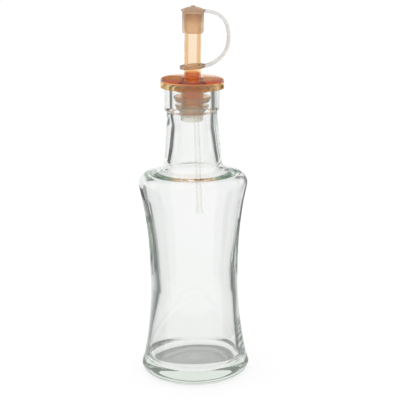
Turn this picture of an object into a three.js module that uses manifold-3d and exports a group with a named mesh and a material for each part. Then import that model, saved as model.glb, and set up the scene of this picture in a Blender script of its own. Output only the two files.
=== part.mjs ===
// Oil cruet: a waisted glass bottle with a push-in pourer, its finned stopper,
// a tethered cap and a thin air tube. Millimetres, +Z up, origin at the centre
// of the foot's underside. The pourer set leans a little toward +X in the neck.
import * as THREE from "three";
import { mergeVertices } from "three/addons/utils/BufferGeometryUtils.js";
import Module from "manifold-3d";

// Bottle
const FOOT_RADIUS = 29.6;
const FLAT_INNER_RADIUS = 20.6;
const HEEL_WIDTH = 5.2;
const HEEL_HEIGHT = 4.6;
const PUNT_DEPTH = 1.6;
const WAIST_Z = 50;
const WAIST_RADIUS = 23.8;
const SHOULDER_Z = 105.5;
const SHOULDER_RADIUS = 29.15;
const SHOULDER_ROUND = 5.5;
const SHOULDER_SLOPE = 18.7; // degrees above level
const NECK_FILLET = 3.95;
const NECK_ROOT = [15.59, 118.0];
const NECK_TOP = [13.25, 144.3];
const LIP_RADIUS = 14.95;
const LEDGE_Z = 146.4;
const BOTTLE_HEIGHT = 160.9;
const BORE_RADIUS = 10.55;
const INNER_WAIST_Z = 48;
const INNER_WAIST_RADIUS = 20.1;
const FLOOR_Z = 5.8;

// Pourer set
const LEAN = 1.5; // degrees, about a level axis through the stopper
const LEAN_PIVOT_Z = 146;
const DISC_RADIUS = 16.85;
const DISC_TOP_Z = 163.1;
const DISC_UNDER_Z = 161.4;
const SKIRT_Z = 157.8;
const SKIRT_INNER_RADIUS = 15.45;
const SPOUT_FOOT_RADIUS = 4.5;
const SPOUT_TIP_RADIUS = 4.2;
const SPOUT_TIP_Z = 196.1;
const SPOUT_BORE = 3.2;
const CORE_RADIUS = 5.0;
const CORE_BORE = 3.65;
const CORE_Z = 147;
const VENT_RADIUS = 0.5;
const VENT_Z = 166.2;
const VENT_ANGLE = -25; // degrees from +X, toward the front

// Stopper
const SLEEVE_INNER_RADIUS = 5.15;
const SLEEVE_RADIUS = 6.05;
const SLEEVE_Z = 140;
const SLEEVE_TOP_Z = 161.1;
// Each fin's root height, outer radius, how far its edge stands above its root, and the
// bend's shares of the way out and up
const FINS = [
  [145, 9.1, 4.4, 0.5, 0.38],
  [150.6, 9.9, 3, 0.75, 0.12],
  [155.9, 9.9, 3, 0.75, 0.12],
];

// Cap, strap and ring
const CAP_RADIUS = 5.65;
const CAP_INNER_RADIUS = 4.45;
const CAP_Z = 186.4;
const CAP_CEILING_Z = 196.6;
const CAP_RIM_RADIUS = 6.5;
const CAP_RIM_Z = 198.1;
const DOME_Z = 200.2;
const PIP_RADIUS = 1.15;
const PIP_Z = 200.6;
const STRAP_THICKNESS = 1.9;
const STRAP_WIDTH = 2.6;
const RING_Z = 168.9;
const RING_INNER_RADIUS = 4.85;
const RING_RADIUS = 6.8;
const RING_THICKNESS = 1.9;
const RING_TILT = 5; // degrees, its strap side higher

// Air tube
const TUBE_LEAN = 2.64; // degrees, within the pourer set
const TUBE_TOP = [1.98, 150];
const TUBE_LENGTH = 60.7;
const TUBE_RADIUS = 1.6;
const TUBE_BORE = 1.1;
const TUBE_FLARE_RADIUS = 2.15;

const DEG = Math.PI / 180;
const wasm = await Module();
wasm.setup();

// Points [radius, height] on an arc, the angles in degrees from the outward level
function arc(centre, radius, from, to, steps) {
  const points = [];
  for (let i = 0; i <= steps; i++) {
    const angle = (from + ((to - from) * i) / steps) * DEG;
    points.push([centre[0] + radius * Math.cos(angle), centre[1] + radius * Math.sin(angle)]);
  }
  return points;
}

// Points of a wall given by its radius at each height
function wall(radiusAt, from, to, steps) {
  const points = [];
  for (let i = 0; i <= steps; i++) {
    const z = from + ((to - from) * i) / steps;
    points.push([radiusAt(z), z]);
  }
  return points;
}

// A turned solid about +Z from a profile of [radius, height] points
function turned(profile, segments) {
  const points = profile.map(([r, z]) => new THREE.Vector2(r, z));
  return new THREE.LatheGeometry(points, segments).rotateX(Math.PI / 2);
}

// Outer wall of the body above and below its waist
function upperWall(z) {
  const rise = (z - WAIST_Z) / (SHOULDER_Z - WAIST_Z);
  return WAIST_RADIUS + (SHOULDER_RADIUS - WAIST_RADIUS) * rise ** 2.45;
}

function lowerWall(z) {
  const drop = (WAIST_Z - z) / (WAIST_Z - HEEL_HEIGHT);
  const flare = 0.65 * Math.exp(-(((z - HEEL_HEIGHT) / 3.6) ** 2));
  return WAIST_RADIUS + (FOOT_RADIUS - 0.65 - WAIST_RADIUS) * drop ** 1.7 + flare;
}

// Inner wall of the body: the glass is thickest round the waist
function innerWall(z) {
  if (z > INNER_WAIST_Z) {
    return INNER_WAIST_RADIUS + 6.4 * ((z - INNER_WAIST_Z) / 54) ** 1.74;
  }
  return INNER_WAIST_RADIUS + 4.9 * ((INNER_WAIST_Z - z) / 38) ** 1.2;
}

function footProfile() {
  const heelCentre = FOOT_RADIUS - HEEL_WIDTH;
  const heel = arc([0, 0], 1, -90, 0, 4).map(([x, y]) => [
    heelCentre + HEEL_WIDTH * x,
    HEEL_HEIGHT * (1 + y),
  ]);
  return [
    [0, PUNT_DEPTH],
    [9, PUNT_DEPTH * 0.83],
    [16.5, PUNT_DEPTH * 0.42],
    [FLAT_INNER_RADIUS, 0],
    ...heel,
  ];
}

function shoulderProfile() {
  const slope = ((SHOULDER_RADIUS - WAIST_RADIUS) * 2.45) / (SHOULDER_Z - WAIST_Z);
  const lean = Math.atan(slope) / DEG;
  const centre = [
    SHOULDER_RADIUS - SHOULDER_ROUND * Math.cos(lean * DEG),
    SHOULDER_Z + SHOULDER_ROUND * Math.sin(lean * DEG),
  ];
  const neckLean = 4;
  const filletCentre = [
    NECK_ROOT[0] + NECK_FILLET * Math.cos(neckLean * DEG),
    NECK_ROOT[1] + NECK_FILLET * Math.sin(neckLean * DEG),
  ];
  return [
    ...arc(centre, SHOULDER_ROUND, -lean, 90 - SHOULDER_SLOPE, 6).slice(1),
    ...arc(filletCentre, NECK_FILLET, 270 - SHOULDER_SLOPE, 180 + neckLean, 4),
  ];
}

function lipProfile() {
  return [
    [14.35, 132],
    NECK_TOP,
    [13.45, 145.5],
    [14.1, LEDGE_Z - 0.2],
    [14.5, LEDGE_Z + 0.5],
    [14.8, 152],
    ...arc([LIP_RADIUS - 1.1, BOTTLE_HEIGHT - 1.1], 1.1, 0, 90, 3),
    ...arc([BORE_RADIUS + 1.1, BOTTLE_HEIGHT - 1.1], 1.1, 90, 180, 3),
  ];
}

// The neck opens out downward. Its roof inside the shoulder follows the slope outside, then
// runs level, so the glass is thinnest just before the shoulder turns down
function insideProfile() {
  const neckTurn = [19.5, 118.26];
  return [
    [BORE_RADIUS - 0.2, 142],
    ...arc(neckTurn, 6.7, 186, 251, 3),
    [19, 111.3],
    [22.8, 111.2],
    [25.1, 110],
    [26.6, 107.6],
    ...wall(innerWall, 102, INNER_WAIST_Z, 6),
    ...wall(innerWall, INNER_WAIST_Z, 11, 5).slice(1),
    [23.2, FLOOR_Z + 1.6],
    [20.8, FLOOR_Z + 0.2],
    [17.5, FLOOR_Z],
    [8, FLOOR_Z + 0.7],
    [0, FLOOR_Z + 0.9],
  ];
}

function bottleGeometry() {
  const profile = [
    ...footProfile(),
    ...wall(lowerWall, HEEL_HEIGHT, WAIST_Z, 9).slice(1),
    ...wall(upperWall, WAIST_Z, SHOULDER_Z, 8).slice(1),
    ...shoulderProfile(),
    ...lipProfile(),
    ...insideProfile(),
  ];
  return turned(profile, 52);
}

// Spout, disc, skirt and core: one turned moulding with a bore right through
function pourerProfile() {
  return [
    [CORE_BORE, CORE_Z],
    [CORE_RADIUS, CORE_Z],
    [CORE_RADIUS, DISC_UNDER_Z],
    [SKIRT_INNER_RADIUS, DISC_UNDER_Z],
    [SKIRT_INNER_RADIUS, SKIRT_Z + 0.3],
    [SKIRT_INNER_RADIUS + 0.3, SKIRT_Z],
    [DISC_RADIUS - 0.4, SKIRT_Z],
    [DISC_RADIUS, SKIRT_Z + 0.4],
    ...arc([DISC_RADIUS - 1.6, DISC_TOP_Z - 1.6], 1.6, 0, 90, 4),
    [SPOUT_FOOT_RADIUS + 0.9, DISC_TOP_Z],
    [SPOUT_FOOT_RADIUS + 0.2, DISC_TOP_Z + 0.4],
    [SPOUT_FOOT_RADIUS, DISC_TOP_Z + 1.1],
    [SPOUT_TIP_RADIUS, SPOUT_TIP_Z - 0.4],
    [SPOUT_TIP_RADIUS - 0.4, SPOUT_TIP_Z],
    [SPOUT_BORE + 0.2, SPOUT_TIP_Z],
    [SPOUT_BORE, SPOUT_TIP_Z - 0.3],
    [SPOUT_BORE, DISC_TOP_Z + 3],
    [CORE_BORE, DISC_TOP_Z],
    [CORE_BORE, CORE_Z],
  ];
}

function pourerGeometry() {
  const vent = new THREE.CylinderGeometry(VENT_RADIUS, VENT_RADIUS, 3, 12)
    .rotateZ(Math.PI / 2)
    .translate(4, 0, 0)
    .rotateZ(VENT_ANGLE * DEG)
    .translate(0, 0, VENT_Z);
  return fromSolid(toSolid(turned(pourerProfile(), 40)).subtract(toSolid(vent)));
}

// Sleeve round the core with three dished fins, their outer edges higher than their roots
function stopperProfile() {
  const points = [
    [SLEEVE_INNER_RADIUS, SLEEVE_Z],
    [SLEEVE_RADIUS - 0.3, SLEEVE_Z],
    [SLEEVE_RADIUS, SLEEVE_Z + 0.3],
  ];
  for (const [root, radius, rise, out, up] of FINS) {
    const reach = radius - SLEEVE_RADIUS;
    points.push([SLEEVE_RADIUS, root]);
    points.push([SLEEVE_RADIUS + out * reach, root + up * rise]);
    points.push([radius, root + rise]);
    points.push([radius - 0.45, root + rise + 0.25]);
    points.push([SLEEVE_RADIUS + (out - 0.1) * reach, root + up * rise + 0.8]);
    points.push([SLEEVE_RADIUS, root + 1.2]);
  }
  points.push([SLEEVE_RADIUS, SLEEVE_TOP_Z]);
  points.push([SLEEVE_INNER_RADIUS, SLEEVE_TOP_Z]);
  points.push([SLEEVE_INNER_RADIUS, SLEEVE_Z]);
  return points;
}

function capProfile() {
  const domeHeight = DOME_Z - CAP_RIM_Z - 0.25;
  const dome = [1, 0.78, 0.53].map((share) => [
    share * (CAP_RIM_RADIUS - 0.1),
    CAP_RIM_Z + 0.25 + domeHeight * (1 - share * share),
  ]);
  return [
    [0, CAP_CEILING_Z],
    [CAP_INNER_RADIUS - 0.5, CAP_CEILING_Z],
    [CAP_INNER_RADIUS, CAP_CEILING_Z - 0.5],
    [CAP_INNER_RADIUS + 0.05, CAP_Z + 0.2],
    [CAP_INNER_RADIUS + 0.2, CAP_Z],
    [CAP_RADIUS - 0.6, CAP_Z],
    [CAP_RADIUS - 0.2, CAP_Z + 0.7],
    [CAP_RADIUS, CAP_Z + 2],
    [CAP_RADIUS, CAP_RIM_Z - 0.9],
    [CAP_RIM_RADIUS, CAP_RIM_Z],
    ...dome,
    [PIP_RADIUS, DOME_Z],
    [PIP_RADIUS, PIP_Z - 0.1],
    [PIP_RADIUS - 0.2, PIP_Z],
    [0, PIP_Z],
  ];
}

function ringGeometry() {
  const half = RING_THICKNESS / 2;
  const profile = [
    [RING_INNER_RADIUS, -half],
    [RING_RADIUS - 0.5, -half],
    [RING_RADIUS, -half + 0.6],
    [RING_RADIUS, half - 0.6],
    [RING_RADIUS - 0.5, half],
    [RING_INNER_RADIUS, half],
    [RING_INNER_RADIUS, -half],
  ];
  return turned(profile, 32)
    .rotateY(-RING_TILT * DEG)
    .translate(0, 0, RING_Z);
}

// The strap's centre line runs from inside the cap's rim out and back to the ring
function strapGeometry() {
  const line = [
    [5.4, 197.9],
    [7.6, 197.75],
    [13.1, 196.2],
    [16.7, 192.6],
    [18.45, 187.6],
    [18.6, 182.8],
    [17.4, 177.6],
    [13.6, 172.9],
    [7.9, 169.75],
    [5.9, 169.4],
  ];
  const path = new THREE.CatmullRomCurve3(line.map(([x, z]) => new THREE.Vector3(x, 0, z)));
  const section = new THREE.Shape();
  const a = STRAP_THICKNESS / 2;
  const b = STRAP_WIDTH / 2;
  const corner = 0.45;
  section.moveTo(-a + corner, -b);
  section.lineTo(a - corner, -b);
  section.lineTo(a, -b + corner);
  section.lineTo(a, b - corner);
  section.lineTo(a - corner, b);
  section.lineTo(-a + corner, b);
  section.lineTo(-a, b - corner);
  section.lineTo(-a, -b + corner);
  return new THREE.ExtrudeGeometry(section, { steps: 21, extrudePath: path });
}

// Cap, strap and ring come from one mould, so they are one solid
function capGeometry() {
  const cap = toSolid(turned(capProfile(), 36));
  return fromSolid(cap.add(toSolid(strapGeometry())).add(toSolid(ringGeometry())));
}

// Thin straight tube with a flared end, hung from its top and leaning outward
function tubeGeometry() {
  const end = -TUBE_LENGTH;
  const profile = [
    [TUBE_FLARE_RADIUS - 0.5, end],
    [TUBE_FLARE_RADIUS, end],
    [TUBE_FLARE_RADIUS, end + 1.6],
    [TUBE_RADIUS, end + 4.5],
    [TUBE_RADIUS, end + 40],
    [TUBE_RADIUS - 0.2, 0],
    [TUBE_BORE - 0.2, 0],
    [TUBE_BORE, end + 40],
    [TUBE_BORE, end + 4.5],
    [TUBE_FLARE_RADIUS - 0.5, end],
  ];
  return turned(profile, 24)
    .rotateY(-TUBE_LEAN * DEG)
    .translate(TUBE_TOP[0], 0, TUBE_TOP[1]);
}

// Geometry to and from manifold-3d solids, for the pieces that are cut or joined
function toSolid(geometry) {
  geometry.deleteAttribute("normal");
  geometry.deleteAttribute("uv");
  const merged = mergeVertices(geometry, 1e-4);
  return new wasm.Manifold(
    new wasm.Mesh({
      numProp: 3,
      vertProperties: new Float32Array(merged.attributes.position.array),
      triVerts: new Uint32Array(merged.index.array),
    }),
  );
}

function fromSolid(solid) {
  const mesh = solid.getMesh();
  const geometry = new THREE.BufferGeometry();
  geometry.setAttribute("position", new THREE.BufferAttribute(mesh.vertProperties, 3));
  geometry.setIndex(new THREE.BufferAttribute(mesh.triVerts, 1));
  geometry.computeVertexNormals();
  return geometry;
}

function piece(name, geometry, look) {
  const mesh = new THREE.Mesh(geometry, new THREE.MeshStandardMaterial(look));
  mesh.name = name;
  return mesh;
}

const clearGlass = { color: 0xe6efe9, roughness: 0.05, transparent: true, opacity: 0.35 };
const amberPlastic = { color: 0xe07a2e, roughness: 0.15, transparent: true, opacity: 0.75 };
const milkyPlastic = { color: 0xd9d2c6, roughness: 0.45 };
const clearPlastic = { color: 0xe9ebea, roughness: 0.2, transparent: true, opacity: 0.5 };

const group = new THREE.Group();
group.add(piece("bottle", bottleGeometry(), clearGlass));

const pourerSet = new THREE.Group();
pourerSet.position.set(0, 0, LEAN_PIVOT_Z);
pourerSet.rotation.y = LEAN * DEG;
for (const part of [
  piece("pourer", pourerGeometry(), amberPlastic),
  piece("stopper", turned(stopperProfile(), 40), milkyPlastic),
  piece("cap", capGeometry(), milkyPlastic),
  piece("air_tube", tubeGeometry(), clearPlastic),
]) {
  part.position.z = -LEAN_PIVOT_Z;
  pourerSet.add(part);
}
group.add(pourerSet);

export default group;
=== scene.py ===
"""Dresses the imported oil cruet: clear pressed glass, a clear orange pouring spout,
its milky stopper, a tethered milky cap and a thin clear air tube.

Every piece is a surface worked out on a grid with numpy, in millimetres, and written to
its mesh in metres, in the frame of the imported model: +Z up, origin under the foot,
the photograph taken from -Y.
"""

import math

import bpy
import numpy as np
from bpy.props import (
    FloatProperty,
    IntProperty,
    PointerProperty,
    StringProperty,
)
from mathutils import Matrix, Vector


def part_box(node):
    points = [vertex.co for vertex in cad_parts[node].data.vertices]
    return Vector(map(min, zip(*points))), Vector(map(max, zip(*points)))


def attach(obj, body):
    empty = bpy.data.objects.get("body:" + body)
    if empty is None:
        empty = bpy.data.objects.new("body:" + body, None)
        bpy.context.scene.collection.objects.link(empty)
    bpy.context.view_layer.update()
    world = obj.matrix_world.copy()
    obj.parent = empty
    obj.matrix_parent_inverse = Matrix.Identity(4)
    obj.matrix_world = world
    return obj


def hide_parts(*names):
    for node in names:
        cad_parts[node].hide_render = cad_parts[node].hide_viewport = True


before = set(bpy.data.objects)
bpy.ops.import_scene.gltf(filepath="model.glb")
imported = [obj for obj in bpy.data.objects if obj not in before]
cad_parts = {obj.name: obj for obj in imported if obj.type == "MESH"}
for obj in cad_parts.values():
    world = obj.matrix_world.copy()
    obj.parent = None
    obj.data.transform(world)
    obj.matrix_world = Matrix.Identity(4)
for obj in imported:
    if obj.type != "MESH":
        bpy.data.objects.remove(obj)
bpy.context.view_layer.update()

bl_info = {
    "name": "Oil cruet",
    "version": (1, 0, 0),
    "blender": (4, 5, 0),
    "location": "3D View > Sidebar > Cruet",
    "description": "Builds a glass oil cruet with a capped pouring spout",
    "category": "Add Mesh",
}

MM = 0.001  # metres in a millimetre
TURN = 2 * math.pi
ROOT = "root"

BOTTLE_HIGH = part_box("bottle")[1]

# The pourer, stopper, cap and tube share an axis that leans toward +X in the neck
LEAN = math.radians(1.5)
LEAN_PIVOT = 146.0  # height in mm that the lean turns about

# Profiles are arrays of [radius, height] in millimetres

FILLET_REACH = 0.48  # share of a corner's shorter side that its fillet may take up
NEARLY_STRAIGHT = math.radians(89)  # half a corner's angle from which it is left sharp


def arc(centre, radius, start, end, steps=10):
    """Points on a circle's arc: centre plus radius times cosine and sine, angles in degrees."""
    angle = np.radians(np.linspace(start, end, steps + 1))
    return np.column_stack(
        [centre[0] + radius * np.cos(angle), centre[1] + radius * np.sin(angle)]
    )


def filleted(corners, steps=6):
    """A polyline whose corners [radius, height, fillet] are rounded by tangent arcs.

    The arc touches each side at fillet / tan(half the corner's angle) from the corner.
    """
    corners = np.asarray(corners, float)
    points = [corners[:1, :2]]
    for before, corner, after in zip(corners[:-2], corners[1:-1], corners[2:]):
        here = corner[:2]
        back, ahead = before[:2] - here, after[:2] - here
        reach = FILLET_REACH * min(np.linalg.norm(back), np.linalg.norm(ahead))
        back, ahead = back / np.linalg.norm(back), ahead / np.linalg.norm(ahead)
        half = math.acos(np.clip(back @ ahead, -1, 1)) / 2
        touch = min(corner[2] / math.tan(half), reach)
        if corner[2] == 0 or half > NEARLY_STRAIGHT:
            points.append(here[None])
            continue
        radius = touch * math.tan(half)
        middle = (back + ahead) / np.linalg.norm(back + ahead)
        centre = here + middle * radius / math.sin(half)
        first, last = here + back * touch - centre, here + ahead * touch - centre
        start = math.degrees(math.atan2(first[1], first[0]))
        turn = math.degrees(math.atan2(last[1], last[0])) - start
        turn = (turn + 180) % 360 - 180
        points.append(arc(centre, radius, start, start + turn, steps))
    points.append(corners[-1:, :2])
    return np.vstack(points)


def spaced(profile, longest):
    """The same profile with points added so that no step is longer than `longest`."""
    steps = np.linalg.norm(np.diff(profile, axis=0), axis=1)
    counts = np.maximum(1, np.ceil(steps / longest)).astype(int)
    place = np.concatenate(
        [i + np.arange(n) / n for i, n in enumerate(counts)] + [[len(steps)]]
    )
    index = np.arange(len(profile))
    return np.column_stack([np.interp(place, index, profile[:, k]) for k in (0, 1)])


# Surfaces


def write_mesh(name, points, faces):
    """A smooth-shaded object at the origin whose mesh holds points (mm) and faces."""
    mesh = bpy.data.meshes.new(name)
    corners = np.concatenate([np.ravel(f) for f in faces]).astype(np.int32)
    sizes = np.concatenate([np.full(len(f), f.shape[1], np.int32) for f in faces])
    starts = np.concatenate([[0], np.cumsum(sizes)[:-1]]).astype(np.int32)
    mesh.vertices.add(len(points))
    mesh.vertices.foreach_set("co", (np.asarray(points) * MM).ravel())
    mesh.loops.add(len(corners))
    mesh.loops.foreach_set("vertex_index", corners)
    mesh.polygons.add(len(sizes))
    mesh.polygons.foreach_set("loop_start", starts)
    mesh.update(calc_edges=True)
    mesh.polygons.foreach_set("use_smooth", np.ones(len(sizes), bool))
    mesh.validate()
    piece = bpy.data.objects.new(name, mesh)
    bpy.context.scene.collection.objects.link(piece)
    return piece


def grid_faces(rows, columns, loops_back):
    """Four-sided faces of a grid that closes round its columns, and its rows if it loops back."""
    last = rows if loops_back else rows - 1
    i, j = np.meshgrid(np.arange(last), np.arange(columns), indexing="ij")
    up, round_ = (i + 1) % rows, (j + 1) % columns
    corners = (i * columns + j, i * columns + round_, up * columns + round_, up * columns + j)
    return np.stack([c.ravel() for c in corners], axis=1)


def sheet_faces(rows, columns):
    """Four-sided faces of an open grid."""
    i, j = np.meshgrid(np.arange(rows - 1), np.arange(columns - 1), indexing="ij")
    first = (i * columns + j).ravel()
    return np.stack([first, first + columns, first + columns + 1, first + 1], axis=1)


def pole_faces(pole, first, columns, reverse):
    """A fan of triangles between a pole vertex and the ring that starts at vertex `first`."""
    j = np.arange(columns)
    ring, following = first + j, first + (j + 1) % columns
    pole = np.full(columns, pole)
    order = (ring, following, pole) if reverse else (pole, following, ring)
    return np.stack(order, axis=1)


def turned(name, profile, columns, moved=None, placed=None):
    """A turned surface: radius times cosine and sine of the angle round +Z, at each height.

    A profile that ends on the axis gets a pole there; one that ends where it starts loops back.
    moved(x, y, z, angle) may shift the grid's points, and placed(points) puts them in the frame.
    """
    loops_back = np.allclose(profile[0], profile[-1])
    poles = [] if loops_back else [profile[0], profile[-1]]
    rings = profile[:-1] if loops_back else profile[1:-1]
    angle = np.linspace(0, TURN, columns, endpoint=False)
    x = rings[:, :1] * np.cos(angle)
    y = rings[:, :1] * np.sin(angle)
    z = np.repeat(rings[:, 1:], columns, axis=1)
    if moved:
        x, y, z = moved(x, y, z, angle)
    points = np.column_stack([x.ravel(), y.ravel(), z.ravel()])
    rows = len(rings)
    faces = [grid_faces(rows, columns, loops_back)]
    if poles:
        count = len(points)
        ends = np.array([[0, 0, poles[0][1]], [0, 0, poles[1][1]]])
        points = np.vstack([points, ends])
        faces.append(pole_faces(count, 0, columns, False))
        faces.append(pole_faces(count + 1, (rows - 1) * columns, columns, True))
    if placed:
        points = placed(points)
    return write_mesh(name, points, faces)


def swept(name, path, across, section, placed=None):
    """A closed section [along the bend, across] carried along a path, with its ends closed by
    fans.

    Each point is the path's point plus the section's first number times the bend's normal
    plus its second times `across`.
    """
    along = np.gradient(path, axis=0)
    along /= np.linalg.norm(along, axis=1, keepdims=True)
    normal = np.cross(across, along)
    columns = len(section)
    grid = (
        path[:, None]
        + section[None, :, :1] * normal[:, None]
        + section[None, :, 1:] * across[None, None]
    )
    rows = len(path)
    count = rows * columns
    points = np.vstack([grid.reshape(-1, 3), path[:1], path[-1:]])
    faces = [
        grid_faces(rows, columns, False),
        pole_faces(count, 0, columns, False),
        pole_faces(count + 1, count - columns, columns, True),
    ]
    if placed:
        points = placed(points)
    return write_mesh(name, points, faces)


def in_pourer_set(points):
    """Turns points by the lean about the level axis +Y through the pivot height."""
    x, y, z = points[:, 0], points[:, 1], points[:, 2] - LEAN_PIVOT
    return np.column_stack(
        [
            x * math.cos(LEAN) + z * math.sin(LEAN),
            y,
            z * math.cos(LEAN) - x * math.sin(LEAN) + LEAN_PIVOT,
        ]
    )


def smooth_line(points, count):
    """A curve through the points: cubic steps whose slopes are those of their neighbours."""
    points = np.asarray(points, float)
    lengths = np.linalg.norm(np.diff(points, axis=0), axis=1)
    place = np.concatenate([[0], np.cumsum(lengths)])
    slope = np.gradient(points, place, axis=0)
    at = np.linspace(0, place[-1], count)
    i = np.clip(np.searchsorted(place, at, side="right") - 1, 0, len(points) - 2)
    span = (place[i + 1] - place[i])[:, None]
    t = (at - place[i])[:, None] / span
    return (
        (2 * t**3 - 3 * t**2 + 1) * points[i]
        + (t**3 - 2 * t**2 + t) * span * slope[i]
        + (3 * t**2 - 2 * t**3) * points[i + 1]
        + (t**3 - t**2) * span * slope[i + 1]
    )


# Materials


def linear(hex_colour):
    """An sRGB hex colour such as "#E6D8C4" as linear red, green, blue and alpha."""
    value = hex_colour.lstrip("#")
    channels = np.array([int(value[i : i + 2], 16) / 255 for i in (0, 2, 4)])
    bright = ((channels + 0.055) / 1.055) ** 2.4
    return (*np.where(channels <= 0.04045, channels / 12.92, bright), 1.0)


def add_node(tree, kind, inputs=None, **settings):
    """Adds a node; an input is a value for its socket or another node's output to link."""
    node = tree.nodes.new(kind)
    for setting, value in settings.items():
        setattr(node, setting, value)
    for socket, value in (inputs or {}).items():
        if isinstance(value, bpy.types.NodeSocket):
            tree.links.new(value, node.inputs[socket])
        else:
            node.inputs[socket].default_value = value
    return node


def new_material(name):
    material = bpy.data.materials.new(name)
    material.use_nodes = True
    material.node_tree.nodes.clear()
    return material, material.node_tree


def absorption(tree, per_mm):
    """Volume absorption that takes the given share of red, green and blue in each millimetre.

    The node takes away density times one minus its colour, so the density is set a little
    above the largest of the three.
    """
    per_metre = np.array(per_mm) / MM
    density = per_metre.max() * 1.02
    node = add_node(tree, "ShaderNodeVolumeAbsorption", {"Density": float(density)})
    node.inputs["Color"].default_value = (*(1 - per_metre / density), 1.0)
    return node


def uneven_skin(tree, place, size, detail, strength, depth):
    """Normals of a skin that waves as a noise `size` mm across, by a bump of `depth` mm."""
    noise = add_node(
        tree,
        "ShaderNodeTexNoise",
        {"Vector": place.outputs["Object"], "Scale": 1 / (size * MM), "Detail": detail},
    )
    bump = add_node(
        tree,
        "ShaderNodeBump",
        {"Height": noise.outputs["Fac"], "Strength": strength, "Distance": depth * MM},
    )
    return bump.outputs["Normal"]


def finish_clear(tree, sockets, volume=None):
    """Ends a tree with one shader that has the given sockets, and a volume if there is one."""
    shader = add_node(tree, "ShaderNodeBsdfPrincipled", sockets)
    ends = {"Surface": shader.outputs["BSDF"]}
    if volume is not None:
        ends["Volume"] = volume.outputs["Volume"]
    add_node(tree, "ShaderNodeOutputMaterial", ends)


# Shares of red, green and blue light that each face of the glass lets through, and that a
# millimetre of the glass and of the orange plastic takes away
FACE_LETS_THROUGH = (0.955, 0.958, 0.955, 1)
GLASS_TAKES = (0.0045, 0.0033, 0.0043)
ORANGE_TAKES = (0.015, 0.06, 0.21)


def soda_lime_glass():
    """Soda-lime glass, pressed and blown in a mould.

    Clear, with a faint green where the light runs a long way through the foot, and a skin
    that waves very slightly, which bends the bright and dark bands at its edges.
    """
    material, tree = new_material("soda_lime_glass_blown")
    place = add_node(tree, "ShaderNodeTexCoord")
    finish_clear(
        tree,
        {
            "Base Color": FACE_LETS_THROUGH,
            "Roughness": 0.0,
            "IOR": 1.52,
            "Transmission Weight": 1.0,
            "Normal": uneven_skin(tree, place, size=16, detail=2.0, strength=0.25, depth=0.25),
        },
        absorption(tree, GLASS_TAKES),
    )
    return material


def spread_colours(ramp, stops):
    """Gives a colour ramp its stops, each a share of the way and a linear colour."""
    while len(ramp.elements) < len(stops):
        ramp.elements.new(0.5)
    for element, (share, colour) in zip(ramp.elements, stops):
        element.position = share
        element.color = colour


# Painted colour of the pourer by height, from the core's open end (0) up to the ring round the
# spout (1): painted depth deepens the disc and the spout's foot, painted shade darkens a band at
# the disc's underside and the spout's foot, and the core pales toward its open end; and the
# heights of those two in mm
PAINTED_DEPTH_BY_HEIGHT = (
    (0.0, "#FFF1E1"),
    (0.12, "#FFE5A6"),
    (0.28, "#FFDA81"),
    (0.645, "#E8CBAA"),
    (0.655, "#FFC495"),
    (0.67, "#FFBC3F"),
    (0.722, "#FFBC3F"),
    (0.729, "#FFB676"),
    (0.74, "#FFB676"),
    (0.76, "#E2A059"),
    (0.855, "#E5A461"),
    (0.89, "#FFEBDA"),
    (1.0, "#FFF8F9"),
)
PAINTED_DEPTH_LOW, PAINTED_DEPTH_HIGH = 147, 169


def height_share(tree, place, low, high):
    """How far up the leaning pourer set's own axis a point is, from low (0) to high (1) mm."""
    along = add_node(
        tree,
        "ShaderNodeVectorMath",
        {0: place.outputs["Object"], 1: (math.sin(LEAN), 0, math.cos(LEAN))},
        operation="DOT_PRODUCT",
    )
    inputs = {"Value": along.outputs["Value"], "From Min": low * MM, "From Max": high * MM}
    return add_node(tree, "ShaderNodeMapRange", inputs).outputs["Result"]


def clear_orange_polystyrene():
    """General-purpose polystyrene, dyed orange and injection moulded with polished faces.

    Pale apricot through one thin wall and deep red-orange along the disc's thickness,
    because the orange colourant takes blue and green light by the length of the way through.
    On top of that its colour is painted by height: painted depth makes the disc and the
    spout's foot deepest, painted shade darkens a band at the disc's underside and the spout's
    foot, and the core pales toward its open end.
    """
    material, tree = new_material("clear_orange_polystyrene_moulded")
    place = add_node(tree, "ShaderNodeTexCoord")
    share = height_share(tree, place, PAINTED_DEPTH_LOW, PAINTED_DEPTH_HIGH)
    # Painted depth and shade: an orange colour by height, on top of the plastic's absorption
    painted_depth = add_node(tree, "ShaderNodeValToRGB", {"Fac": share})
    spread_colours(painted_depth.color_ramp, [(stop, linear(tint)) for stop, tint in PAINTED_DEPTH_BY_HEIGHT])
    finish_clear(
        tree,
        {
            "Base Color": painted_depth.outputs["Color"],
            "Roughness": 0.03,
            "IOR": 1.57,
            "Transmission Weight": 1.0,
            "Normal": uneven_skin(tree, place, size=5, detail=3.0, strength=0.3, depth=0.06),
        },
        absorption(tree, ORANGE_TAKES),
    )
    return material


CLOUD_STOPS = (0.3, 0.7)  # where the polyethylene's clouds are darkest and lightest
CLOUD_FACTORS = (0.93, 1.05)  # and how much darker and lighter than its tone


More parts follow.
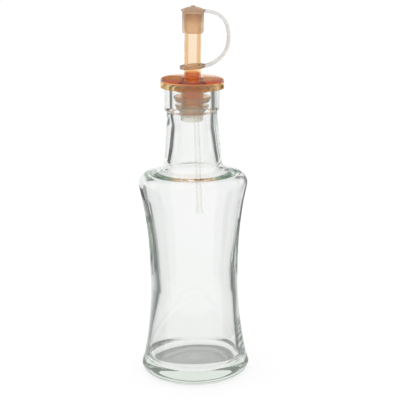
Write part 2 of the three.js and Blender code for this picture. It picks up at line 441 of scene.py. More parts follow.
def natural_polyethylene(name, tone, clearness, roughness, bending=1.5, painted_glow_and_shade=None):
    """Natural low-density polyethylene, injection moulded.

    Milky: what lies behind shows as a soft blur, thick walls look greyer, and the
    surface has the low waxy sheen of a fine spark-eroded mould. Soft grades scatter the
    light more than they bend it, so their `bending` (the refractive index) is set lower.
    The last argument, if given, holds two heights in mm, and the factors on red, green and
    blue that the colour is multiplied by from the one to the other. It paints light and shade
    by height: an orange glow on the stopper and a warm shade on the cap.
    """
    material, tree = new_material(name)
    place = add_node(tree, "ShaderNodeTexCoord")
    cloud = add_node(
        tree,
        "ShaderNodeTexNoise",
        {"Vector": place.outputs["Object"], "Scale": 1 / (3 * MM), "Detail": 4.0},
    )
    shades = add_node(tree, "ShaderNodeValToRGB", {"Fac": cloud.outputs["Fac"]})
    middle = np.array(linear(tone)[:3])
    clouded = [(*np.minimum(middle * factor, 1), 1) for factor in CLOUD_FACTORS]
    spread_colours(shades.color_ramp, list(zip(CLOUD_STOPS, clouded)))
    colour = shades.outputs["Color"]
    # Painted light and shade by height, multiplied into the colour
    if painted_glow_and_shade:
        low, high, factors = painted_glow_and_shade
        share = height_share(tree, place, low, high)
        shade = add_node(tree, "ShaderNodeValToRGB", {"Fac": share})
        spread_colours(shade.color_ramp, ((0, (1, 1, 1, 1)), (1, (*factors, 1))))
        mixed = add_node(
            tree,
            "ShaderNodeMixRGB",
            {"Fac": 1.0, "Color1": colour, "Color2": shade.outputs["Color"]},
            blend_type="MULTIPLY",
        )
        colour = mixed.outputs["Color"]
    finish_clear(
        tree,
        {
            "Base Color": colour,
            "Roughness": roughness,
            "IOR": bending,
            "Transmission Weight": clearness,
            "Normal": uneven_skin(tree, place, size=0.35, detail=2.0, strength=0.35, depth=0.04),
        },
    )
    return material


def clear_tubing():
    """Flexible clear tubing, extruded: nearly unseen but for a grey line along each edge."""
    material, tree = new_material("clear_tubing_extruded")
    place = add_node(tree, "ShaderNodeTexCoord")
    finish_clear(
        tree,
        {
            "Base Color": linear("#FDFDFB"),
            "Roughness": 0.05,
            "IOR": 1.42,
            "Transmission Weight": 1.0,
            "Normal": uneven_skin(tree, place, size=4, detail=2.0, strength=0.3, depth=0.08),
        },
    )
    return material


def finish_piece(piece, material, node):
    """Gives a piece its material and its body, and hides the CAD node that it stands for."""
    piece.data.materials.append(material)
    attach(piece, ROOT)
    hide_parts(node)


# Bottle


class CruetBottle(bpy.types.PropertyGroup):
    height: FloatProperty(
        name="Height",
        description="From the foot to the top of the lip",
        default=BOTTLE_HIGH[2],
        unit="LENGTH",
    )
    foot_radius: FloatProperty(
        name="Foot radius",
        description="Widest radius of the foot",
        default=BOTTLE_HIGH[0],
        unit="LENGTH",
    )
    waist_radius: FloatProperty(
        name="Waist radius",
        description="Narrowest outside radius of the body",
        default=23.8 * MM,
        unit="LENGTH",
    )
    shoulder_radius: FloatProperty(
        name="Shoulder radius",
        description="Outside radius where the shoulder starts to round over",
        default=29.15 * MM,
        unit="LENGTH",
    )
    waist_glass: FloatProperty(
        name="Glass at the waist",
        description="Thickness of the glass round the waist",
        default=3.7 * MM,
        unit="LENGTH",
    )
    ripple: FloatProperty(
        name="Ripple",
        description="How far the blown inside wall waves in and out",
        default=0.08 * MM,
        unit="LENGTH",
    )


HEEL = (5.2, 4.6)  # width and height of the foot's rounding
FOOT_RING = 20.6  # inner radius of the flat ring that the foot stands on
WAIST_Z, SHOULDER_Z = 50.0, 105.5
POWER_UP, POWER_DOWN = 2.45, 1.7  # of the outer wall above and below the waist
FLARE, FLARE_HEIGHT = 0.65, 3.6  # bell-shaped widening that makes the foot
SHOULDER_ROUND, SHOULDER_SLOPE = 5.5, 18.7
NECK_LEAN, NECK_FILLET, NECK_ROOT = 4.0, 3.95, (15.59, 118.0)
FLOOR_Z, FLOOR_RISE = 5.8, 0.9  # height of the floor, and how far its middle stands above that
INNER_WAIST_Z = 48.0
INNER_TOP, INNER_BOTTOM = 100.0, 11.0  # heights that the inner wall's curve ends at
# The inner wall above and below its waist: the height over which it grows, by how much, and
# the power of that curve
INNER_ABOVE, INNER_BELOW = (54, 6.4, 1.74), (38, 4.9, 1.2)
# The hollow's drift along +X under the shoulder, how much less it is at the very bottom, the
# height in which that dies away, and the drift in the neck
DRIFT_HIGH, DRIFT_LESS, DRIFT_FADE, DRIFT_NECK = 0.45, 2.9, 17, 0.2
NECK_BLEND = 14  # height in which the body's drift and waves turn into the neck's
FLOOR_BLEND = 8  # height above the floor in which they set in
NECK_RIPPLE = 0.35  # share of the waves that is left in the neck
# Waves of the blown wall: their share of the ripple, how many go round, the height in mm that
# shifts them by one radian (below zero where they wind the other way), and their start
WAVES = ((1.0, 2, 9.0, 0.6), (0.8, 3, -6.5, 2.1), (0.6, 1, 4.3, 4.0), (0.5, 5, 11.0, 1.2))


def body_outside(z, bottle):
    """Radius of the outer wall: waist plus a power of the height above or below it.

    The lower power runs down to the heel, where a small bell-shaped flare, the exponential
    of minus a square, is added.
    """
    waist = bottle.waist_radius / MM
    shoulder = bottle.shoulder_radius / MM
    foot = bottle.foot_radius / MM
    up = np.clip((z - WAIST_Z) / (SHOULDER_Z - WAIST_Z), 0, None)
    down = np.clip((WAIST_Z - z) / (WAIST_Z - HEEL[1]), 0, None)
    flare = FLARE * np.exp(-(((z - HEEL[1]) / FLARE_HEIGHT) ** 2))
    above = (shoulder - waist) * up**POWER_UP
    below = (foot - FLARE - waist) * down**POWER_DOWN
    return waist + above + below + flare


def body_inside(z, bottle):
    """Radius of the inner wall, by a power of the height above or below its own waist."""
    radius = (bottle.waist_radius - bottle.waist_glass) / MM
    up = z - INNER_WAIST_Z
    for away, (span, growth, power) in ((up, INNER_ABOVE), (-up, INNER_BELOW)):
        radius = radius + growth * np.clip(away / span, 0, None) ** power
    return radius


def bottle_outside(bottle):
    """Outer profile from the middle of the hollow under the foot up to the top of the lip.

    Corners are given as radius, height and fillet, here and in the profiles that follow.
    """
    heel_centre = bottle.foot_radius / MM - HEEL[0]
    under = filleted(
        [(0, 0.7, 0), (2.5, 0.69, 30), (9, 0.42, 200), (FOOT_RING, 0, 20), (heel_centre, 0, 0)]
    )
    angle = np.radians(np.linspace(-90, 0, 13))[1:]
    heel = np.column_stack(
        [heel_centre + HEEL[0] * np.cos(angle), HEEL[1] * (1 + np.sin(angle))]
    )
    z = np.linspace(HEEL[1], SHOULDER_Z, 92)[1:]
    wall = np.column_stack([body_outside(z, bottle), z])
    run = wall[-1] - wall[-2]
    lean = math.degrees(math.atan2(run[0], run[1]))
    centre = (
        wall[-1, 0] - SHOULDER_ROUND * math.cos(math.radians(lean)),
        SHOULDER_Z + SHOULDER_ROUND * math.sin(math.radians(lean)),
    )
    shoulder = arc(centre, SHOULDER_ROUND, -lean, 90 - SHOULDER_SLOPE, 20)[1:]
    neck_turn = math.radians(NECK_LEAN)
    fillet_centre = (
        NECK_ROOT[0] + NECK_FILLET * math.cos(neck_turn),
        NECK_ROOT[1] + NECK_FILLET * math.sin(neck_turn),
    )
    fillet = arc(fillet_centre, NECK_FILLET, 270 - SHOULDER_SLOPE, 180 + NECK_LEAN, 10)
    top = bottle.height / MM
    lip = filleted(
        [
            (*fillet[-1], 0),
            (14.35, 132, 60),
            (13.2, 145.3, 1.2),
            (14.35, 146.2, 0.7),
            (14.82, 152.5, 12),
            (14.95, top, 1.2),
            (10.55, top, 1.2),
            (10.5, 147, 10),
            (10.35, 142, 0),
        ],
        8,
    )
    return np.vstack([under, heel, wall, shoulder, fillet, lip[1:]])


def bottle_inside(bottle):
    """Inner profile from inside the neck down to the middle of the floor."""
    neck = filleted(
        [
            (10.35, 142, 0),
            (10.0, 136, 30),
            (11.0, 126, 30),
            (13.25, 113.3, 6.7),
            (19.0, 111.3, 2.0),
            (24.0, 111.2, 2.5),
            (27.0, 107.0, 4.0),
            (body_inside(INNER_TOP, bottle), INNER_TOP, 0),
        ],
        14,
    )
    z = np.linspace(INNER_TOP, INNER_BOTTOM, 87)[1:]
    wall = np.column_stack([body_inside(z, bottle), z])
    middle = FLOOR_Z + FLOOR_RISE
    floor = filleted(
        [(*wall[-1], 0), (23.9, 6.9, 3.4), (16, FLOOR_Z, 30), (2.5, middle, 30), (0, middle, 0)],
        12,
    )
    return np.vstack([neck[1:], wall, floor[1:]])


def blown_inside(bottle, first_row):
    """Shifts the inner wall as blowing leaves it.

    The hollow's axis drifts along +X from -1 mm in the foot to +0.45 mm under the shoulder,
    by an exponential of the height, and stands 0.2 mm off in the neck. The wall waves by a
    sum of sines of the height and the angle, which is weaker in the neck.
    """
    depth = bottle.ripple / MM

    def moved(x, y, z, angle):
        inner = z[first_row:]
        body = np.clip((NECK_ROOT[1] - inner) / NECK_BLEND, 0, 1)
        in_body = DRIFT_HIGH - DRIFT_LESS * np.exp(-inner / DRIFT_FADE)
        drift = body * in_body + (1 - body) * DRIFT_NECK
        off_floor = np.clip((inner - FLOOR_Z) / FLOOR_BLEND, 0, 1)
        wave = sum(
            share * np.sin(number * angle + inner / pitch + start)
            for share, number, pitch, start in WAVES
        )
        ripple = depth * (NECK_RIPPLE + (1 - NECK_RIPPLE) * body) * off_floor * wave
        # Within 5 mm of the axis the ripple dies away toward it
        grow = 1 + ripple / np.maximum(np.hypot(x[first_row:], y[first_row:]), 5)
        x[first_row:] = x[first_row:] * grow + drift * off_floor
        y[first_row:] = y[first_row:] * grow
        return x, y, z

    return moved


class CRUET_OT_bottle(bpy.types.Operator):
    """Build the waisted glass bottle"""

    bl_idname = "cruet.bottle"
    bl_label = "Bottle"

    def execute(self, context):
        bottle = context.scene.cruet_bottle
        outside = spaced(bottle_outside(bottle), 1.3)
        inside = spaced(bottle_inside(bottle), 1.3)
        profile = np.vstack([outside, inside])
        piece = turned(
            "bottle_glass", profile, 160, moved=blown_inside(bottle, len(outside) - 1)
        )
        finish_piece(piece, soda_lime_glass(), "bottle")
        return {"FINISHED"}


# Pourer


class CruetPourer(bpy.types.PropertyGroup):
    disc_radius: FloatProperty(
        name="Disc radius",
        description="Radius of the disc that covers the lip",
        default=16.85 * MM,
        unit="LENGTH",
    )
    spout_radius: FloatProperty(
        name="Spout radius",
        description="Outside radius at the spout's foot",
        default=4.5 * MM,
        unit="LENGTH",
    )
    bore_radius: FloatProperty(
        name="Bore radius",
        description="Radius of the channel in the spout",
        default=3.2 * MM,
        unit="LENGTH",
    )


DISC_TOP, DISC_UNDER, SKIRT_Z, SKIRT_WALL = 163.1, 161.4, 157.8, 1.4
SPOUT_TIP = 196.1
CORE_RADIUS, CORE_BORE, CORE_Z = 5.0, 3.65, 147.0


def pourer_profile(pourer):
    """Profile of core, disc, skirt and spout, looping back down through the bore."""
    disc = pourer.disc_radius / MM
    spout = pourer.spout_radius / MM
    bore = pourer.bore_radius / MM
    corners = [
        (CORE_BORE, CORE_Z + 4, 0),
        (CORE_BORE, CORE_Z, 0.25),
        (CORE_RADIUS, CORE_Z, 0.4),
        (CORE_RADIUS, DISC_UNDER, 0.4),
        (disc - SKIRT_WALL, DISC_UNDER, 0.5),
        (disc - SKIRT_WALL, SKIRT_Z, 0.4),
        (disc, SKIRT_Z, 0.45),
        (disc, DISC_TOP, 1.6),
        (spout, DISC_TOP, 0.9),
        (spout - 0.3, SPOUT_TIP, 0.35),
        (bore, SPOUT_TIP, 0.3),
        (bore, DISC_TOP + 3, 1),
        (CORE_BORE, DISC_TOP, 1),
        (CORE_BORE, CORE_Z + 4, 0),
    ]
    return spaced(filleted(corners, 8), 1.2)


class CRUET_OT_pourer(bpy.types.Operator):
    """Build the clear orange pouring spout with its disc and core"""

    bl_idname = "cruet.pourer"
    bl_label = "Pourer"

    def execute(self, context):
        profile = pourer_profile(context.scene.cruet_pourer)
        piece = turned("pourer_body", profile, 144, placed=in_pourer_set)
        finish_piece(piece, clear_orange_polystyrene(), "pourer")
        return {"FINISHED"}


# Stopper


class CruetStopper(bpy.types.PropertyGroup):
    sleeve_radius: FloatProperty(
        name="Sleeve radius",
        description="Outside radius of the sleeve round the core",
        default=6.05 * MM,
        unit="LENGTH",
    )
    fin_radius: FloatProperty(
        name="Fin radius",
        description="Radius of the upper two dished fins that grip the neck",
        default=9.95 * MM,
        unit="LENGTH",
    )
    tone: StringProperty(
        name="Colour",
        description="sRGB hex colour of the milky plastic",
        default="#F4F0E6",
    )


# Each fin's root height, how much narrower it is, how far its edge stands above its root,
# and the bend's shares of the way out and up
FINS = (
    (145.0, 0.8, 4.4, 0.5, 0.38),
    (150.6, 0.0, 3.0, 0.75, 0.12),
    (155.9, 0.0, 3.0, 0.75, 0.12),
)
SLEEVE_Z, SLEEVE_TOP, SLEEVE_BORE = 140.0, 161.1, 5.15


def stopper_profile(stopper):
    """Sleeve with three thin fins dished upward, thinner toward their outer edges."""
    sleeve = stopper.sleeve_radius / MM
    corners = [(SLEEVE_BORE, 150, 0), (SLEEVE_BORE, SLEEVE_Z, 0.15), (sleeve, SLEEVE_Z, 0.35)]
    for root, narrower, rise, out, up in FINS:
        fin = stopper.fin_radius / MM - narrower
        reach = fin - sleeve
        corners += [
            (sleeve, root, 0.4),
            (sleeve + out * reach, root + up * rise, 1.5),
            (fin, root + rise, 0.3),
            (fin - 0.45, root + rise + 0.25, 0.2),
            (sleeve + (out - 0.1) * reach, root + up * rise + 0.8, 1.2),
            (sleeve, root + 1.2, 0.5),
        ]
    corners += [(sleeve, SLEEVE_TOP, 0.2), (SLEEVE_BORE, SLEEVE_TOP, 0.15), (SLEEVE_BORE, 150, 0)]
    return spaced(filleted(corners, 5), 1.2)


class CRUET_OT_stopper(bpy.types.Operator):
    """Build the milky stopper with its three fins"""

    bl_idname = "cruet.stopper"
    bl_label = "Stopper"

    def execute(self, context):
        stopper = context.scene.cruet_stopper
        profile = stopper_profile(stopper)
        piece = turned("stopper_body", profile, 128, placed=in_pourer_set)
        material = natural_polyethylene(
            "natural_polyethylene_soft",
            stopper.tone,
            clearness=0.86,
            roughness=0.2,
            bending=1.25,
            # Painted orange glow: the upper stopper grows warmer with height, as if lit through
            # the orange disc above
            painted_glow_and_shade=(145, 153, (1.1, 0.87, 0.69)),
        )
        finish_piece(piece, material, "stopper")
        return {"FINISHED"}


# Cap, strap and ring


class CruetCap(bpy.types.PropertyGroup):
    radius: FloatProperty(
        name="Cap radius",
        description="Outside radius of the cap's sleeve",
        default=5.65 * MM,
        unit="LENGTH",
    )
    rim_radius: FloatProperty(
        name="Rim radius",
        description="Radius of the rim round the dome",
        default=6.5 * MM,
        unit="LENGTH",
    )
    strap_thickness: FloatProperty(
        name="Strap thickness",
        description="Thickness of the strap in the plane of its loop",
        default=1.9 * MM,
        unit="LENGTH",
    )
    strap_width: FloatProperty(
        name="Strap width",
        description="Width of the strap across its loop",
        default=2.6 * MM,
        unit="LENGTH",
    )
    # Painted light: the cap's warm tone paints the orange glow of the spout inside it, and the
    # ring's darker warm tone paints orange light and shade; the strap's tone is the plastic's own
    tone: StringProperty(
        name="Colour",
        description="sRGB hex colour of the cap, warm from the orange spout inside it",
        default="#FFE6CA",
    )
    ring_tone_with_painted_glow_and_shade: StringProperty(
        name="Ring colour",
        description="sRGB hex colour of the ring round the spout",
        default="#E8CAA6",
    )
    strap_tone: StringProperty(
        name="Strap colour",
        description="sRGB hex colour of the strap, which has nothing orange behind it",
        default="#EFEDE9",
    )


CAP_BOTTOM, CAP_CEILING, CAP_RIM, DOME_FOOT, DOME_TOP = 186.4, 196.6, 198.1, 198.35, 200.2
CAP_BORE = 4.45
PIP_RADIUS, PIP_TOP = 1.15, 200.6
RING_Z, RING_BORE, RING_RADIUS, RING_THICKNESS = 168.9, 4.85, 6.8, 1.9
RING_TILT = math.radians(5)
# The strap's middle line as x and height, from the cap's rim down to the ring
STRAP_LINE = (
    (5.4, 197.9),
    (7.6, 197.75),
    (13.1, 196.2),
    (16.7, 192.6),
    (18.45, 187.6),
    (18.6, 182.8),
    (17.4, 177.6),
    (13.6, 172.9),
    (7.9, 169.75),
    (5.9, 169.4),
)


def cap_profile(cap):
    """Profile of the cap: up inside the ceiling, down the bore, and up to the dome's pip.

    The dome is a parabola that falls from its top to the rim.
    """
    outer, rim = cap.radius / MM, cap.rim_radius / MM
    share = np.linspace(1, PIP_RADIUS / rim, 14)[1:-1]
    dome = np.column_stack(
        [share * (rim - 0.1), DOME_FOOT + (DOME_TOP - DOME_FOOT) * (1 - share**2)]
    )
    corners = [
        (0, CAP_CEILING, 0),
        (CAP_BORE, CAP_CEILING, 0.5),
        (CAP_BORE + 0.1, CAP_BOTTOM, 0.25),
        (outer - 0.5, CAP_BOTTOM, 0.5),
        (outer - 0.15, CAP_BOTTOM + 1.1, 1.5),
        (outer, CAP_BOTTOM + 3, 4),
        (outer, CAP_RIM - 0.7, 0.6),
        (rim, CAP_RIM, 0.25),
        (*dome[0], 0.5),
        *[(*point, 0) for point in dome[1:]],
        (PIP_RADIUS + 0.02, DOME_TOP, 0.15),
        (PIP_RADIUS, PIP_TOP, 0.2),
        (0, PIP_TOP, 0),
    ]
    return spaced(filleted(corners, 6), 0.9)


def ring_profile():
    """Rounded flat ring, looping back along its bore."""
    half = RING_THICKNESS / 2
    corners = [
        (RING_BORE, 0, 0),
        (RING_BORE, -half, 0.2),
        (RING_RADIUS, -half, 0.75),
        (RING_RADIUS, half, 0.75),
        (RING_BORE, half, 0.2),
        (RING_BORE, 0, 0),
    ]
    return filleted(corners, 8)


def tilted_ring(points):
    """Tilts the ring so that its strap side is higher, lifts it, and leans it with the set."""
    x, y, z = points.T
    tilted = np.column_stack(
        [
            x * math.cos(RING_TILT) - z * math.sin(RING_TILT),
            y,
            z * math.cos(RING_TILT) + x * math.sin(RING_TILT) + RING_Z,
        ]
    )
    return in_pourer_set(tilted)


def strap_section(cap):
    """Rounded band: a superellipse of power 4 in thickness and width."""
    angle = np.linspace(0, TURN, 28, endpoint=False)
    c, s = np.cos(angle), np.sin(angle)
    half = np.array([cap.strap_thickness, cap.strap_width]) / MM / 2
    return np.column_stack(
        [
            half[0] * np.sign(c) * np.abs(c) ** 0.5,
            half[1] * np.sign(s) * np.abs(s) ** 0.5,
        ]
    )


class CRUET_OT_cap(bpy.types.Operator):
    """Build the milky cap, its strap and the ring round the spout"""

    bl_idname = "cruet.cap"
    bl_label = "Cap and strap"

    def execute(self, context):
        cap = context.scene.cruet_cap
        warm = natural_polyethylene(
            "natural_polyethylene_cap_painted_glow_and_shade",
            cap.tone,
            clearness=0.85,
            roughness=0.3,
            bending=1.35,
            # Painted shade: the cap grows darker and warmer from 191 mm up to its rim, and its
            # dome keeps that shade
            painted_glow_and_shade=(191, 198, (0.6, 0.48, 0.4)),
        )
        # Painted glow and shade: the ring's darker warm tone
        round_spout = natural_polyethylene(
            "natural_polyethylene_ring_painted_glow_and_shade", cap.ring_tone_with_painted_glow_and_shade, clearness=0.85, roughness=0.3
        )
        plain = natural_polyethylene(
            "natural_polyethylene_strap", cap.strap_tone, clearness=0.75, roughness=0.3
        )
        flat = smooth_line(STRAP_LINE, 120)
        path = np.column_stack([flat[:, 0], np.zeros(len(flat)), flat[:, 1]])
        across = np.array([0.0, 1.0, 0.0])
        pieces = (
            turned("cap_shell", cap_profile(cap), 112, placed=in_pourer_set),
            swept("cap_strap", path, across, strap_section(cap), placed=in_pourer_set),
            turned("cap_ring", ring_profile(), 112, placed=tilted_ring),
        )
        for piece, material in zip(pieces, (warm, plain, round_spout)):
            finish_piece(piece, material, "cap")
        return {"FINISHED"}


# Air tube


class CruetTube(bpy.types.PropertyGroup):
    radius: FloatProperty(
        name="Tube radius",
        description="Outside radius of the tube",
        default=1.6 * MM,
        unit="LENGTH",
    )
    bore: FloatProperty(
        name="Tube bore",
        description="Inside radius of the tube",
        default=1.1 * MM,
        unit="LENGTH",
    )
    length: FloatProperty(
        name="Tube length",
        description="From the stopper's core to the flared end",
        default=60.7 * MM,
        unit="LENGTH",
    )


TUBE_LEAN = math.radians(2.64)
TUBE_TOP = (1.98, 150.0)  # x and height
FLARE_LENGTH, FLARE_WIDER = 4.5, 0.55  # of the tube's lower end


def tube_profile(tube):
    """Thin wall that flares out at its lower end, looping back up its bore."""
    radius, bore, end = tube.radius / MM, tube.bore / MM, -tube.length / MM
    corners = [
        (bore, end + 30, 0),
        (bore, end + FLARE_LENGTH, 6),
        (bore + FLARE_WIDER, end, 0.1),
        (radius + FLARE_WIDER, end, 0.15),
        (radius + FLARE_WIDER, end + 1.6, 1.2),
        (radius, end + FLARE_LENGTH, 4),
        (radius, end + 40, 20),
        (radius - 0.2, 0, 0.1),
        (bore - 0.2, 0, 0.1),
        (bore, end + 40, 20),
        (bore, end + 30, 0),
    ]
    return spaced(filleted(corners, 5), 1.0)


def hung_tube(points):
    """Leans the tube outward from its top, then leans it with the pourer set."""
    x, y, z = points.T
    leaning = np.column_stack(
        [
            x * math.cos(TUBE_LEAN) - z * math.sin(TUBE_LEAN) + TUBE_TOP[0],
            y,
            z * math.cos(TUBE_LEAN) + x * math.sin(TUBE_LEAN) + TUBE_TOP[1],
        ]
    )
    return in_pourer_set(leaning)


class CRUET_OT_tube(bpy.types.Operator):
    """Build the thin clear air tube"""

    bl_idname = "cruet.tube"
    bl_label = "Air tube"

    def execute(self, context):
        profile = tube_profile(context.scene.cruet_tube)
        piece = turned("air_tube_clear", profile, 48, placed=hung_tube)
        finish_piece(piece, clear_tubing(), "air_tube")
        return {"FINISHED"}


# Stage


class CruetStage(bpy.types.PropertyGroup):
    distance: FloatProperty(
        name="Camera distance",
        description="Level distance from the camera to the bottle's axis",
        default=577 * MM,
        unit="LENGTH",
    )
    pitch: FloatProperty(
        name="Camera pitch",
        description="How far the camera looks down",
        default=math.radians(14.2),
        subtype="ANGLE",
    )
    foot_row: FloatProperty(
        name="Foot row",
        description="Row of the foot's centre in the 400-pixel frame",
        default=366.5,
    )
    focal_pixels: FloatProperty(
        name="Focal length in pixels",
        description="Focal length as a number of pixels of the 400-pixel frame",
        default=1100.0,
    )
    roll: FloatProperty(
        name="Camera roll",
        description="Turn of the camera about its own line of sight",
        default=math.radians(-0.8),
        subtype="ANGLE",
    )
    columns: IntProperty(
        name="Frame width",
        description="Width in pixels of the frame that rows and columns are counted in",
        default=400,
    )


# Cards to either side: start and end in degrees from straight behind, lowest and highest z,
# colour, and whether they also mirror; the second is what the spout's thick edges show, and
# the third what the cap's show. They are painted shade, seen only through and in the glass,
# the spout and the cap, where they darken the edges; the second's warm tint paints a warm glow
# in the spout's edges.
SIDE_CARDS = (
    (60, 112, -20, 120, "#909291", True),
    (14, 75, 156, 178.5, "#ECD0B8", False),
    (40, 112, 179, 204, "#ADADAD", False),
)
SIDE_CARD_RADIUS = 90
# Cards just behind the bottle's edges: side, lowest and highest z, near and far offset from
# the glass in mm, and brightness. They are painted light and shade: seen only through the
# glass, they make its bright and dark edge bands, one band at a time.
EDGE_CARDS = (
    (-1, 119, 145, 4.4, 42, 0.1),
    (-1, 141.5, 147, -0.3, 6, 0.06),
    (-1, 146, 158, 7, 45, 0.16),
    (-1, 104, 118, 0, 12, 0.9),
    (-1, 82, 104, -0.3, 2.6, 0.1),
    (-1, 82, 104, 2.6, 3.8, 0.2),
    (-1, 82, 104, 3.8, 12, 0.12),
    (-1, 52, 82, -0.1, 2.2, 0.24),
    (-1, 52, 82, 2.2, 4.6, 0.55),
    (-1, 52, 82, 4.6, 16, 0.18),
    (-1, 0, 52, 0.3, 1.8, 0.78),
    (-1, 0, 52, 1.8, 4, 0.58),
    (-1, 0, 52, 4, 8, 0.4),
    (-1, 0, 52, 8, 16, 0.24),
    (1, 119, 158, 1.1, 1.9, 0.2),
    (1, 141.5, 147, -0.3, 4, 0.06),
    (1, 119, 158, 1.9, 5, 0.75),
    (1, 119, 158, 5, 42, 0.16),
    (1, 82, 118, 0.2, 1.2, 0.75),
    (1, 82, 118, 1.2, 5, 0.13),
    (1, 82, 118, 5, 8, 0.4),
    (1, 52, 82, 0.2, 1.2, 0.6),
    (1, 52, 82, 1.2, 2.6, 0.1),
    (1, 52, 82, 2.6, 4, 0.7),
    (1, 52, 82, 4, 10, 0.14),
    (1, 0, 52, 0.3, 1.8, 0.8),
    (1, 0, 52, 1.8, 4, 0.6),
    (1, 0, 52, 4, 8, 0.3),
    (1, 0, 52, 8, 16, 0.2),
)
EDGE_CARD_Y = 5.0
CARD_TINT = np.array([1, 1.03, 1.01])  # faint green of the grey that the glass shows
# The painted shade disc under the foot: radius, height, and how far its ends reach past a half
# turn
SHADE_RADIUS, SHADE_Z, SHADE_PAST = 24.6, 0.04, 0.24
SHADE_POINTS = 49
# The cards that only mirror: how far behind, and their lowest and highest z
MIRRORED_Y, MIRRORED_LOW, MIRRORED_HIGH = 60, 170.5, 200
MIDDLE_Z = 0.1  # height in metres that the light faces
AXIS_COLUMN = 193.2  # column of the bottle's axis at mid-height, left of the frame's middle


def aim_camera(stage):
    """Places the camera so that the foot's centre falls on its row in the photograph."""
    half = stage.columns / 2
    down = stage.pitch + math.atan((stage.foot_row - half) / stage.focal_pixels)
    height = stage.distance * math.tan(down)
    data = bpy.data.cameras.new("photo_camera")
    data.sensor_width = 36.0
    data.lens = stage.focal_pixels / stage.columns * data.sensor_width
    data.shift_x = (half - AXIS_COLUMN) / stage.columns
    data.clip_end = 30.0
    camera = bpy.data.objects.new("photo_camera", data)
    camera.matrix_world = (
        Matrix.Translation((0, -stage.distance, height))
        @ Matrix.Rotation(math.pi / 2 - stage.pitch, 4, "X")
        @ Matrix.Rotation(stage.roll, 4, "Z")
    )
    bpy.context.scene.collection.objects.link(camera)
    bpy.context.scene.camera = camera
    return camera


def glowing(name, colour):
    """A plain even glow of a linear colour, as a lit card gives; it paints the light and shade of
    the cards that are seen only through and in the glass, spout and cap.
    """
    material, tree = new_material(name)
    glow = add_node(tree, "ShaderNodeEmission", {"Color": colour, "Strength": 1.0})
    add_node(tree, "ShaderNodeOutputMaterial", {"Surface": glow.outputs["Emission"]})
    return material


def curved_card(name, start, end, radius, low, high):
    """An upright card bent round the bottle's axis; angles in degrees from straight behind."""
    rows, columns = 25, 3
    angle, z = np.meshgrid(
        np.radians(np.linspace(start, end, rows)), np.linspace(low, high, columns), indexing="ij"
    )
    x, y = radius * np.sin(angle), radius * np.cos(angle)
    points = np.column_stack([x.ravel(), y.ravel(), z.ravel()])
    return write_mesh(name, points, [sheet_faces(rows, columns)])


def edge_card(name, wall, side, heights, offsets):
    """An upright card behind the bottle's side that follows its outer wall at two offsets."""
    rows = 17
    z = np.linspace(*heights, rows)
    radius = np.interp(z, wall[:, 1], wall[:, 0])
    edges = radius[:, None] + np.array(offsets)
    x = side * (edges if side < 0 else edges[:, ::-1])
    points = np.column_stack([x.ravel(), np.full(x.size, EDGE_CARD_Y), np.repeat(z, 2)])
    return write_mesh(name, points, [sheet_faces(rows, 2)])


def seen_through_glass_only(card, camera):
    """Keeps a card out of the picture and the light, and lets it move with the camera."""
    card.visible_camera = False
    card.visible_diffuse = False
    card.visible_shadow = False
    card.visible_volume_scatter = False
    card.parent = camera
    card.matrix_parent_inverse = camera.matrix_world.inverted()


def shade_under_foot(camera):
    """Painted shade under the foot, seen through the thick foot: a glowing grey disc less its
    near part.
    """
    angle = np.linspace(-SHADE_PAST, math.pi + SHADE_PAST, SHADE_POINTS)
    points = np.column_stack(
        [
            SHADE_RADIUS * np.cos(angle),
            SHADE_RADIUS * np.sin(angle),
            np.full(SHADE_POINTS, SHADE_Z),
        ]
    )
    shade = write_mesh("shade_under_foot", points, [np.arange(SHADE_POINTS)[None]])
    shade.data.materials.append(glowing("painted_shade_underside", linear("#979795")))
    seen_through_glass_only(shade, camera)


def card_in_the_disc(camera, name, low_x, high_x, colour):
    """A card behind the bottle that only mirrors: it dims the pourer disc's flat reflection."""
    corners = (
        (low_x, MIRRORED_Y, MIRRORED_LOW),
        (high_x, MIRRORED_Y, MIRRORED_LOW),
        (high_x, MIRRORED_Y, MIRRORED_HIGH),
        (low_x, MIRRORED_Y, MIRRORED_HIGH),
    )
    card = write_mesh(name, np.array(corners), [np.arange(4)[None]])
    card.data.materials.append(glowing(name, linear(colour)))
    seen_through_glass_only(card, camera)
    card.visible_transmission = False


def white_floor():
    """A matt white floor, so wide that its edge is above the frame."""
    half = 8000.0  # mm
    points = np.array([(-half, -half, 0), (half, -half, 0), (half, half, 0), (-half, half, 0)])
    floor = write_mesh("floor", points, [np.array([[0, 1, 2, 3]])])
    material, tree = new_material("matt_white_paper")
    shader = add_node(
        tree,
        "ShaderNodeBsdfPrincipled",
        {
            "Base Color": linear("#7C7C7C"),
            "Roughness": 1.0,
            "Specular IOR Level": 0.0,
            "Emission Color": linear("#FFFFFF"),
            "Emission Strength": 0.81,
        },
    )
    add_node(tree, "ShaderNodeOutputMaterial", {"Surface": shader.outputs["BSDF"]})
    floor.data.materials.append(material)


def white_room():
    """Even white light from all round, as in a light tent."""
    world = bpy.data.worlds.new("light_tent")
    world.use_nodes = True
    background = world.node_tree.nodes["Background"]
    background.inputs["Color"].default_value = linear("#FFFFFF")
    background.inputs["Strength"].default_value = 1.02
    bpy.context.scene.world = world


def soft_light(name, place, size, power):
    """A large square light, placed in metres, that faces the bottle's middle."""
    data = bpy.data.lights.new(name, "AREA")
    data.energy = power
    data.size = size
    light = bpy.data.objects.new(name, data)
    facing = Vector((0, 0, MIDDLE_Z)) - Vector(place)
    light.matrix_world = (
        Matrix.Translation(place) @ facing.to_track_quat("-Z", "Y").to_matrix().to_4x4()
    )
    bpy.context.scene.collection.objects.link(light)


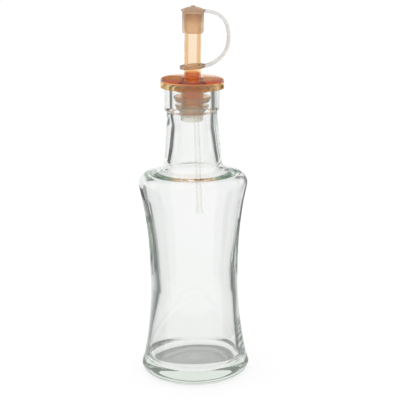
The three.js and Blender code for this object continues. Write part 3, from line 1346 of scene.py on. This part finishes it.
class CRUET_OT_stage(bpy.types.Operator):
    """Build the floor, the light tent, the cards and the camera"""

    bl_idname = "cruet.stage"
    bl_label = "Stage"

    def execute(self, context):
        stage = context.scene.cruet_stage
        camera = aim_camera(stage)
        white_floor()
        white_room()
        soft_light("top_light", place=(-0.25, -0.1, 0.9), size=0.9, power=0.7)
        for side, word in ((-1, "left"), (1, "right")):
            for start, end, low, high, colour, mirrors in SIDE_CARDS:
                name = f"{word}_card_{start}"
                card = curved_card(name, side * start, side * end, SIDE_CARD_RADIUS, low, high)
                card.data.materials.append(glowing(name, linear(colour)))
                seen_through_glass_only(card, camera)
                card.visible_glossy = mirrors
        outline = bottle_outside(context.scene.cruet_bottle)
        foot, lip = (outline[:, 0] >= FOOT_RING).argmax(), outline[:, 1].argmax()
        for side, low, high, inner, outer, bright in EDGE_CARDS:
            name = f"edge_card_{side * outer}_{low}"
            card = edge_card(name, outline[foot:lip], side, (low, high), (inner, outer))
            card.data.materials.append(glowing(name, (*(bright * CARD_TINT), 1)))
            seen_through_glass_only(card, camera)
        shade_under_foot(camera)
        card_in_the_disc(camera, "mirrored_left", -40, 4, "#616161")
        card_in_the_disc(camera, "mirrored_right", 4, 40, "#8B8B8B")
        scene = context.scene
        scene.view_settings.view_transform = "Standard"
        scene.view_settings.look = "None"
        scene.cycles.max_bounces = 128
        scene.cycles.transmission_bounces = 128
        scene.cycles.glossy_bounces = 128
        scene.cycles.use_denoising = True
        return {"FINISHED"}


# Panel and registration

GROUPS = {
    "cruet_bottle": CruetBottle,
    "cruet_pourer": CruetPourer,
    "cruet_stopper": CruetStopper,
    "cruet_cap": CruetCap,
    "cruet_tube": CruetTube,
    "cruet_stage": CruetStage,
}
OPERATORS = (
    CRUET_OT_stage,
    CRUET_OT_bottle,
    CRUET_OT_pourer,
    CRUET_OT_stopper,
    CRUET_OT_cap,
    CRUET_OT_tube,
)


class CRUET_PT_pieces(bpy.types.Panel):
    """Sizes of the cruet and a button for each piece"""

    bl_label = "Oil cruet"
    bl_idname = "CRUET_PT_pieces"
    bl_space_type = "VIEW_3D"
    bl_region_type = "UI"
    bl_category = "Cruet"

    def draw(self, context):
        for group, kind in GROUPS.items():
            box = self.layout.box()
            for setting in kind.__annotations__:
                box.prop(getattr(context.scene, group), setting)
        for operator in OPERATORS:
            self.layout.operator(operator.bl_idname)


CLASSES = (*GROUPS.values(), *OPERATORS, CRUET_PT_pieces)


def register():
    for cls in CLASSES:
        bpy.utils.register_class(cls)
    for group, kind in GROUPS.items():
        setattr(bpy.types.Scene, group, PointerProperty(type=kind))


def unregister():
    for group in GROUPS:
        delattr(bpy.types.Scene, group)
    for cls in reversed(CLASSES):
        bpy.utils.unregister_class(cls)


def main():
    register()
    for operator in OPERATORS:
        call = operator.bl_idname.split(".")[1]
        getattr(bpy.ops.cruet, call)()


if __name__ == "__main__":
    main()
